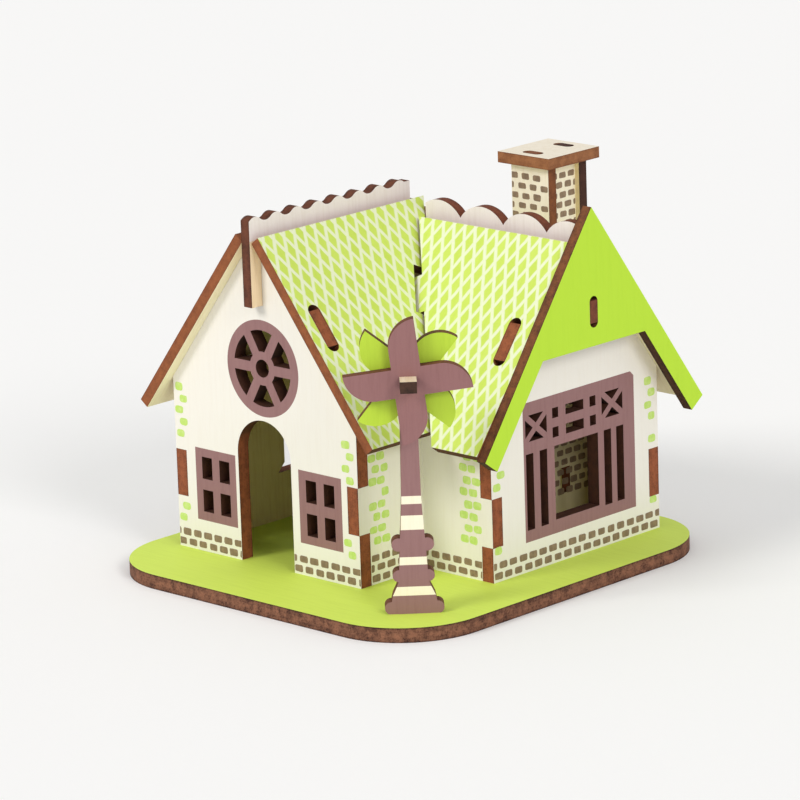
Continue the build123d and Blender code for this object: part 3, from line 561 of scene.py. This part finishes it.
for node, facing, paint in (("door_gable_wall", FRONT, paint_door_gable),
                            ("lattice_gable_wall", RIGHT, paint_lattice_gable),
                            ("left_side_wall", LEFT, cream), ("inner_side_wall", RIGHT, cream),
                            ("inner_front_wall", FRONT, cream), ("back_wall", BACK, cream)):
    dress_flat(node, facing, WALL_MM, paint, bare_back, TOAST, CHAR, 0.75)
dress_flat("hearth_partition", RIGHT, ROOF_MM, plain("#e2d6ae", "#cfbf8e", 0.4), bare_back,
           TOAST, CHAR, 0.75)
print("walls dressed:", sum(m.name.endswith("_wall_ply") for m in bpy.data.materials))

# %% [markdown]
# ## Base plate
#
# The base is printed lime all over its top. Its edge is the longest cut of the puzzle and the most
# mottled, so it gets the strongest burn.

# %% Base material
LIME, LIME_STREAK = "#d9f163", "#cbe455"
UP = (0, 0, 1)
base_top = GROUND / MM
dress_flat("base_plate", UP, WALL_MM, plain(LIME, LIME_STREAK, 0.35), bare_back,
           ink("#93644a"), ink("#3b2119"), 1.2, grain=(1, 0, 0))
print("base top is at", round(base_top, 2), "mm")

# %% [markdown]
# ## Roof panels
#
# Four sloping sheets carry the shingle net. The pitch comes from the panel's own box: its rise over its
# run, both less what the sheet's thickness adds to them. The underside is cream. The cut edge is nearly
# the walls' brown, and a little less charred.

# %% Roof materials
SHINGLE, SHINGLE_DARK, NET = "#cfe566", "#c4db55", "#e9efcd"
ROOF_TOAST, ROOF_CHAR = ink("#9a5a35"), ink("#4f2818")
TONE_SHARE = 0.6            # how far single shingles go towards the darker green
PITCH_STEPS = 20            # rounds of correction


def panel_slope(node, flat_axis):
    """Pitch of a roof panel, from the height and plan width of its box and the sheet's thickness."""
    size = (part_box(node)[1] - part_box(node)[0]) / MM
    run, rise = size[flat_axis], size.z
    pitch = atan(rise / run)
    for _ in range(PITCH_STEPS):
        pitch = atan((rise - ROOF_MM * cos(pitch)) / (run - ROOF_MM * sin(pitch)))
    return pitch


def paint_shingles(level, down):
    def paint(sheet):
        net = use(sheet.tree, shingle_net, Position=sheet.position, Level=level, Down_Slope=down)
        tile = mix(sheet.tree, calc(sheet.tree, "MULTIPLY", net["Tone"], TONE_SHARE), ink(SHINGLE),
                   ink(SHINGLE_DARK))
        inked = sheet.veneer(tile, ink("#bdd650"), 0.25)["Color"]
        return mix(sheet.tree, net["Mask"], inked, ink(NET))
    return paint


def dress_roof(node, away):
    """`away` is the plan direction in which the panel falls."""
    flat_axis = 0 if abs(away[0]) > 0.5 else 1
    pitch = panel_slope(node, flat_axis)
    out = Vector((away[0] * sin(pitch), away[1] * sin(pitch), cos(pitch)))
    down = Vector((away[0] * cos(pitch), away[1] * cos(pitch), -sin(pitch)))
    level = down.cross(out)
    face = max(out.dot(v.co) for v in frame["nodes"][node].data.vertices) / MM
    dress(node, plywood(node + "_ply", out, face, ROOF_MM, down, paint_shingles(level, down),
                        plain("#f4ebcb", "#e2d3a4", 0.4), ROOF_TOAST, ROOF_CHAR, 0.6))
    return degrees(pitch)


for node, away in (("roof_left_outer", LEFT), ("roof_left_inner", RIGHT),
                   ("roof_right_front", FRONT), ("roof_right_back", BACK)):
    print(node, "falls at", round(dress_roof(node, away), 1), "degrees")

# %% [markdown]
# ## Ridge boards, fascia and chimney
#
# The ridge boards are whitewashed where they show above the roof and bare below it, so their paint ends
# at a height. The fascia is the most saturated green. The chimney's plates are cream like the walls, and
# its cap is cream on top, with the browned ends of the plates' tabs showing in its two slots.

# %% Trim materials
WHITEWASH = "#f4ece8"
PAINT_TUCK = 1.0            # the whitewash goes this far below the roof's top edge
PAINT_SOFT = 0.1            # half the soft step where it ends


def paint_ridge(panel):
    """Whitewash down to the top edge of a roof panel, and bare wood below."""
    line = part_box(panel)[1].z / MM - PAINT_TUCK

    def paint(sheet):
        height = add(sheet.tree, "ShaderNodeSeparateXYZ", {0: sheet.position}).outputs[2]
        above_roof = smooth(sheet.tree, height, line - PAINT_SOFT, line + PAINT_SOFT)
        return mix(sheet.tree, above_roof, plain("#f0d9b8", "#d8b68a", 0.5)(sheet),
                   plain(WHITEWASH, "#ded2c8", 0.35)(sheet))
    return paint


left_paint, right_paint = paint_ridge("roof_left_inner"), paint_ridge("roof_right_front")
dress_flat("left_ridge_board", RIGHT, ROOF_MM, left_paint, left_paint,
           ink("#70402c"), ink("#2f1a14"), 0.9)
dress_flat("right_ridge_board", FRONT, ROOF_MM, right_paint, right_paint,
           ink("#7f4630"), ink("#43221a"), 0.8)
dress_flat("fascia_board", RIGHT, ROOF_MM, plain("#bce336", "#aed82c", 0.25), bare_back,
           ink("#84502f"), ink("#38221a"), 0.9)
chimney_cream = plain("#fbf2dc", "#ecdcb8", 0.35)
for node, facing in (("chimney_front", FRONT), ("chimney_right", RIGHT), ("chimney_back", BACK),
                     ("chimney_left", LEFT)):
    # The back plate's cut edge gets much darker browns than the other three plates.
    cut_inks = ("#4c2c20", "#22130f") if node == "chimney_back" else ("#8a5230", "#4f2c1c")
    dress_flat(node, facing, ROOF_MM, chimney_cream, bare_back, *map(ink, cut_inks), 0.7)
dress_flat("chimney_cap", UP, ROOF_MM, plain("#f5ecda", "#e2d2b4", 0.4), bare_back,
           ink("#a26c46"), ink("#663820"), 0.8)
print("trim dressed:", sum(m.name.startswith(("chimney", "fascia", "left_ridge", "right_ridge"))
                            for m in bpy.data.materials), "materials")

# %% [markdown]
# ## The windmill
#
# The post is purple with four cream bands; the front sail is nearly the same purple and the rear sail a
# bright green. The two sails and their axle turn together, so their patterns read object coordinates and
# turn with them. The post faces half-way between the two gables.

# %% Windmill materials
MILL_FACING = Vector(frame["joints"][0]["axis"])
BANDS = ((3.7, 5.5), (9.9, 11.5), (17.0, 19.9), (22.2, 23.8))     # heights above the base
ALL_ROUND = 200             # a half-size that no piece reaches


def paint_post(sheet):
    ground = sheet.veneer(ink(PURPLE), ink(PURPLE_STREAK), 0.45)["Color"]
    band_ink = sheet.veneer(ink("#fbf3da"), ink("#eadfb8"), 0.3)["Color"]
    for low, high in BANDS:
        centre = (0, 0, base_top + (low + high) / 2)
        band = use(sheet.tree, ink_panel, Position=sheet.position, Centre=centre,
                   Half_Size=(ALL_ROUND, ALL_ROUND, (high - low) / 2))["Mask"]
        ground = mix(sheet.tree, band, ground, band_ink)
    return ground


def dress_mill(node, thickness, paint, back, toast, char, burn):
    face = max(MILL_FACING.dot(v.co) for v in frame["nodes"][node].data.vertices) / MM
    dress(node, plywood(node + "_ply", MILL_FACING, face, thickness, UP, paint, back, toast, char, burn))


sail_purple, sail_green = plain("#936968", "#835a59", 0.45), plain("#bad83e", "#a8c832", 0.35)
dress_mill("windmill_post", WALL_MM, paint_post, bare_back, ink("#7d4f3a"), ink("#46291f"), 0.8)
dress_mill("sail_front", ROOF_MM, sail_purple, sail_purple, ink("#7d4a34"), ink("#452a1e"), 0.8)
dress_mill("sail_rear", ROOF_MM, sail_green, sail_green, ink("#7a5428"), ink("#3d3318"), 0.8)
dress_flat("windmill_axle", UP, ROOF_MM, plain("#f3e3c4", "#d9bd90", 0.5), bare_back,
           ink("#4a3226"), ink("#241812"), 0.8, grain=MILL_FACING)
print("the windmill faces", [round(v, 3) for v in MILL_FACING])

# %% [markdown]
# ## Bricks and corner stones
#
# Two or three courses of brown bricks run along the foot of every wall, pale green stones climb the front
# corners, and bricks cover the chimney and the hearth wall. They repeat by a rule, so Geometry Nodes lay
# them out: a line of points is folded into rows, each point gets a rounded dab of ink, and a fixed seed
# makes each dab a little different, as a hand-drawn print is. The dabs are 0.05 mm thick, so that they
# stand just clear of the wall. The tree ends in Realize Instances, and its result is turned into one
# plain mesh for each ink.

# %% Geometry Nodes tree: printed dabs
INK_MM = 0.05               # thickness of a dab
WELD_MM = 0.001
ROUND_CUTS = 2              # cuts in each rounded corner
SIZES = (0.92, 0.92, 1), (1.05, 1.05, 1)        # smallest and largest dab
TREMBLE_MM = (0.3, 0.3, 0.0)                    # how far the outline of a dab strays
dabs, given, result = new_group(
    "printed_dabs", "GeometryNodeTree",
    [("Columns", "NodeSocketInt", 5), ("Rows", "NodeSocketInt", 2),
     ("Pitch Across", "NodeSocketFloat", 2.95), ("Pitch Up", "NodeSocketFloat", 2.1),
     ("Stagger", "NodeSocketFloat", 0.5), ("Dab Width", "NodeSocketFloat", 2.2),
     ("Dab Height", "NodeSocketFloat", 1.42), ("Rounding", "NodeSocketFloat", 0.3),
     ("Wander", "NodeSocketFloat", 0.05), ("Missing", "NodeSocketFloat", 0.0),
     ("Seed", "NodeSocketInt", 1), ("Ink", "NodeSocketMaterial", None)],
    [("Geometry", "NodeSocketGeometry")])
count = calc(dabs, "MULTIPLY", given["Columns"], given["Rows"])
points = add(dabs, "GeometryNodeMeshLine", {"Count": count})
index = add(dabs, "GeometryNodeInputIndex").outputs[0]
row = calc(dabs, "FLOOR", calc(dabs, "DIVIDE", calc(dabs, "ADD", index, 0.01), given["Columns"]))
column = calc(dabs, "SUBTRACT", index, calc(dabs, "MULTIPLY", row, given["Columns"]))
odd = calc(dabs, "MODULO", row, 2.0)
x = calc(dabs, "MULTIPLY", calc(dabs, "ADD", column, calc(dabs, "MULTIPLY", odd, given["Stagger"])),
         given["Pitch Across"])
y = calc(dabs, "MULTIPLY", row, given["Pitch Up"])
swing = add(dabs, "FunctionNodeRandomValue", {"Seed": given["Seed"]}, data_type="FLOAT_VECTOR")
swing.inputs[0].default_value, swing.inputs[1].default_value = (-1, -1, 0), (1, 1, 0)
drift = add(dabs, "ShaderNodeVectorMath", {0: swing.outputs[0], "Scale": given["Wander"]},
            operation="SCALE")
spot = vector(dabs, "ADD", add(dabs, "ShaderNodeCombineXYZ", {0: x, 1: y}).outputs[0], drift.outputs[0])
placed = add(dabs, "GeometryNodeSetPosition", {"Geometry": points.outputs[0], "Position": spot})
luck = add(dabs, "FunctionNodeRandomValue", {"Seed": calc(dabs, "ADD", given["Seed"], 7)},
           data_type="FLOAT")
gone = calc(dabs, "LESS_THAN", luck.outputs[1], given["Missing"])
kept = add(dabs, "GeometryNodeDeleteGeometry", {"Geometry": placed.outputs[0], "Selection": gone})
outline = add(dabs, "GeometryNodeCurvePrimitiveQuadrilateral",
              {"Width": given["Dab Width"], "Height": given["Dab Height"]})
rounded = add(dabs, "GeometryNodeFilletCurve", {"Curve": outline.outputs[0], "Radius": given["Rounding"]})
rounded.mode = "POLY"
rounded.inputs["Count"].default_value = ROUND_CUTS
sheet_of_ink = add(dabs, "GeometryNodeFillCurve", {"Curve": rounded.outputs[0]})
raised = add(dabs, "GeometryNodeExtrudeMesh", {"Mesh": sheet_of_ink.outputs[0], "Offset Scale": INK_MM,
                                               "Individual": False})
underside = add(dabs, "GeometryNodeFlipFaces", {"Mesh": sheet_of_ink.outputs[0]})
closed = add(dabs, "GeometryNodeJoinGeometry")
dabs.links.new(raised.outputs[0], closed.inputs[0])
dabs.links.new(underside.outputs[0], closed.inputs[0])
welded = add(dabs, "GeometryNodeMergeByDistance", {"Geometry": closed.outputs[0], "Distance": WELD_MM})
size = add(dabs, "FunctionNodeRandomValue", {"Seed": calc(dabs, "ADD", given["Seed"], 3)},
           data_type="FLOAT_VECTOR")
size.inputs[0].default_value, size.inputs[1].default_value = SIZES
laid = add(dabs, "GeometryNodeInstanceOnPoints", {"Points": kept.outputs[0], "Instance": welded.outputs[0],
                                                  "Scale": size.outputs[0]})
real = add(dabs, "GeometryNodeRealizeInstances", {"Geometry": laid.outputs[0]})
where = add(dabs, "GeometryNodeInputPosition").outputs[0]
tremble = add(dabs, "ShaderNodeTexNoise", {"Vector": where, "Scale": 1.6, "Detail": 1.0}).outputs["Color"]
nudge = vector(dabs, "MULTIPLY", vector(dabs, "SUBTRACT", tremble, (0.5, 0.5, 0.5)), TREMBLE_MM)
drawn = add(dabs, "GeometryNodeSetPosition", {"Geometry": real.outputs[0], "Offset": nudge})
inked = add(dabs, "GeometryNodeSetMaterial", {"Geometry": drawn.outputs[0], "Material": given["Ink"]})
dabs.links.new(inked.outputs[0], result.inputs[0])
print("tree", dabs.name, "has", len(dabs.nodes), "nodes")

# %% [markdown]
# ## Inks for the dabs
#
# Both inks are matt and a little uneven: a noise in millimetres thins the ink here and there so that the
# cream ground shows through.

# %% Ink materials
ROUGH_INK = 0.62


def dab_ink(name, colour, ground, thin):
    material = bpy.data.materials.new(name)
    material.use_nodes = True
    tree = material.node_tree
    shader = tree.nodes["Principled BSDF"]
    position = add(tree, "ShaderNodeMapping", {"Vector": add(tree, "ShaderNodeTexCoord").outputs["Object"],
                                               "Scale": TEXTURE_MM}).outputs[0]
    cloud = add(tree, "ShaderNodeTexNoise", {"Vector": position, "Scale": 1.1, "Detail": 3.0}).outputs[0]
    thinned = calc(tree, "MULTIPLY", smooth(tree, cloud, 0.4, 0.75), thin)
    grained = use(tree, veneer_grain, Position=position, Along_Grain=(0, 0, 1), Amount=0.3,
                  Ground=mix(tree, thinned, ink(colour), ink(ground)), Streak=ink(ground))
    tree.links.new(grained["Color"], shader.inputs["Base Color"])
    shader.inputs["Roughness"].default_value = ROUGH_INK
    shader.inputs["Specular IOR Level"].default_value = SHEEN
    return material


brick_ink = dab_ink("brick_ink", "#85705c", "#b39a7c", 0.35)
stone_ink = dab_ink("stone_ink", "#bfe06c", "#e4efb0", 0.4)
print("inks:", brick_ink.name, stone_ink.name)

# %% [markdown]
# ## Laying the courses
#
# Each run is one use of the tree, in millimetres on its wall: where it starts, how many columns and rows
# it has, and which way its odd rows step. A print sheet is larger than the piece cut from it, so bricks
# at a wall's ends are cut through: each run is made a little too long and bisected at the cut line.

# %% Lay bricks and stones
def trim(mesh, start, limits):
    """Cut a run off square at two distances across the wall, and close the cut dabs."""
    work = bmesh.new()
    work.from_mesh(mesh)
    for limit, outward in zip(limits, (-1, 1)):
        everything = work.verts[:] + work.edges[:] + work.faces[:]
        bmesh.ops.bisect_plane(work, geom=everything, plane_co=(limit - start, 0, 0),
                               plane_no=(outward, 0, 0), clear_outer=True)
    bmesh.ops.holes_fill(work, edges=[e for e in work.edges if e.is_boundary], sides=0)
    work.to_mesh(mesh)
    work.free()


def lay(matrix, start, limits, seed, material, **values):
    """One run of dabs as a mesh in the object's own metres."""
    source = bpy.data.objects.new("run", bpy.data.meshes.new("run"))
    bpy.context.scene.collection.objects.link(source)
    modifier = source.modifiers.new("dabs", "NODES")
    modifier.node_group = dabs
    settings = {k.replace("_", " "): v for k, v in values.items()}
    settings.update({"Seed": seed, "Ink": material})
    for item in dabs.interface.items_tree:
        if item.name in settings:
            modifier[item.identifier] = settings[item.name]
    made = source.evaluated_get(bpy.context.evaluated_depsgraph_get())
    mesh = bpy.data.meshes.new_from_object(made)
    bpy.data.objects.remove(source)
    trim(mesh, start[0], limits)
    shift = Matrix.Translation((start[0] * MM, start[1] * MM, 0.0)) @ Matrix.Scale(MM, 4)
    mesh.transform(matrix @ shift)
    return mesh


def join(name, meshes, material, body):
    """Runs of one ink as a single piece that rides on a body."""
    merged = bmesh.new()
    for mesh in meshes:
        merged.from_mesh(mesh)
        bpy.data.meshes.remove(mesh)
    whole = bpy.data.meshes.new(name)
    merged.to_mesh(whole)
    merged.free()
    whole.materials.clear()
    whole.materials.append(material)
    piece = bpy.data.objects.new(name, whole)
    bpy.context.scene.collection.objects.link(piece)
    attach(piece, body)


COURSE = 2.96               # from brick to brick
FIRST = 1.2                 # height of the first course
CUT_EDGE = 0.12             # the ink stops this far from a cut
bricks, stones = [], []


def courses(node, facing, first, start, end, rows, seed, step=0.5):
    """Courses along the foot of a wall, cut off at `start` and `end`; `first` is a brick's middle."""
    columns = int((end - first) / COURSE) + 3
    bricks.append(lay(face_at(node, facing), (first - COURSE, FIRST), (start + CUT_EDGE, end - CUT_EDGE),
                      seed, brick_ink, Columns=columns, Rows=rows, Pitch_Across=COURSE, Stagger=step))


DOOR_FROM, DOOR_TO = 18.0, 33.0
INNER_SIDE_TO, INNER_FRONT_TO = 18.7, 18.6      # where the two inner walls meet the other wing
LAPPED_FIRST = 4.4                              # first brick of a wall whose end is lapped by another
courses("door_gable_wall", FRONT, 3.8, 0, DOOR_FROM, 2, 11, -0.5)
courses("door_gable_wall", FRONT, 34.2, DOOR_TO, width_of("door_gable_wall", FRONT), 2, 12)
courses("lattice_gable_wall", RIGHT, 1.4, 0, width_of("lattice_gable_wall", RIGHT), 2, 13)
courses("inner_side_wall", RIGHT, LAPPED_FIRST, WALL_MM, INNER_SIDE_TO, 3, 14)
courses("inner_front_wall", FRONT, LAPPED_FIRST, WALL_MM, INNER_FRONT_TO, 2, 15)
courses("back_wall", BACK, LAPPED_FIRST, WALL_MM, width_of("back_wall", BACK), 2, 16)
left_end = width_of("left_side_wall", LEFT) - WALL_MM
courses("left_side_wall", LEFT, LAPPED_FIRST, WALL_MM, left_end, 2, 17)
print("brick runs:", len(bricks))


# %% Corner stones
STONE_UP, STONE_ACROSS = 2.45, 2.5
STONE_WIDTH, STONE_HEIGHT, STONE_ROUNDING = 2.15, 1.6, 0.5
# Wall, facing, first stone's x, lowest and highest y, columns, and which way the odd rows step
CORNERS = (("door_gable_wall", FRONT, 1.5, 24.2, 36.0, 1, 0.45),
           ("door_gable_wall", FRONT, 1.3, 6.4, 9.5, 1, 0.45),
           ("door_gable_wall", FRONT, 49.5, 21.8, 31.0, 1, -0.45),
           ("door_gable_wall", FRONT, 49.4, 6.6, 9.5, 1, -0.45),
           ("lattice_gable_wall", RIGHT, 1.6, 19.4, 27.5, 1, 0.45),
           ("lattice_gable_wall", RIGHT, 1.6, 6.4, 6.6, 1, 0.45),
           ("lattice_gable_wall", RIGHT, 48.6, 19.4, 32.0, 1, -0.45),
           ("lattice_gable_wall", RIGHT, 48.6, 6.4, 6.6, 1, -0.45),
           ("inner_side_wall", RIGHT, 5.2, 8.8, 32.5, 2, -0.45),
           ("inner_front_wall", FRONT, 14.0, 8.0, 30.5, 2, 0.45))
for seed, (node, facing, x, low, high, columns, step) in enumerate(CORNERS, start=21):
    rows = int((high - low) / STONE_UP) + 1
    stones.append(lay(face_at(node, facing), (x, low), (CUT_EDGE, width_of(node, facing) - CUT_EDGE),
                      seed, stone_ink, Columns=columns, Rows=rows, Pitch_Across=STONE_ACROSS,
                      Pitch_Up=STONE_UP, Stagger=step, Dab_Width=STONE_WIDTH, Dab_Height=STONE_HEIGHT,
                      Rounding=STONE_ROUNDING, Missing=0.08, Wander=0.12))
print("stone runs:", len(stones))


# %% Chimney and hearth wall
ROW_UP = 2.02                # between the chimney's courses
TOP_ROW = 2.6                # from the cap's underside down to the first course
CHIMNEY_DAB = (1.9, 1.25)
BROAD_FIRSTS, BROAD_PITCH = ((0.8, 3), (-0.25, 4)), 3.03       # first brick and columns, by row
DEEP_FIRSTS, DEEP_PITCH = ((2.9, 3), (4.4, 3)), 2.6
cap_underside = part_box("chimney_cap")[0].z / MM


def chimney_courses(node, facing, firsts, pitch, limits, rows, seed):
    """Courses counted down from the cap; `firsts` are a first brick's middle in even and odd rows."""
    face = face_at(node, facing)
    foot = face.translation.z / MM
    for parity, (first, columns) in enumerate(firsts):
        count = (rows + 1 - parity) // 2
        lowest = cap_underside - foot - TOP_ROW - ROW_UP * (2 * (count - 1) + parity)
        bricks.append(lay(face, (first, lowest), limits, seed + parity, brick_ink, Columns=columns,
                          Rows=count, Pitch_Across=pitch, Pitch_Up=2 * ROW_UP, Stagger=0.0,
                          Dab_Width=CHIMNEY_DAB[0], Dab_Height=CHIMNEY_DAB[1]))


broad = width_of("chimney_front", FRONT)
deep = width_of("chimney_right", RIGHT)
broad_limits = (CUT_EDGE, broad - CUT_EDGE)
deep_limits = (ROOF_MM + CUT_EDGE, deep - ROOF_MM - CUT_EDGE)
chimney_courses("chimney_front", FRONT, BROAD_FIRSTS, BROAD_PITCH, broad_limits, 7, 31)
chimney_courses("chimney_back", BACK, BROAD_FIRSTS, BROAD_PITCH, broad_limits, 14, 33)
chimney_courses("chimney_right", RIGHT, DEEP_FIRSTS, DEEP_PITCH, deep_limits, 8, 35)
chimney_courses("chimney_left", LEFT, DEEP_FIRSTS, DEEP_PITCH, deep_limits, 8, 37)
wall_width = width_of("hearth_partition", RIGHT)
bricks.append(lay(face_at("hearth_partition", RIGHT), (1.2, 7.4), (CUT_EDGE, wall_width - CUT_EDGE), 39,
                  brick_ink, Columns=17, Rows=11, Pitch_Across=2.66, Pitch_Up=2.05, Dab_Width=1.95,
                  Dab_Height=1.3))
join("brick_prints", bricks, brick_ink, "house")
join("corner_stone_prints", stones, stone_ink, "house")
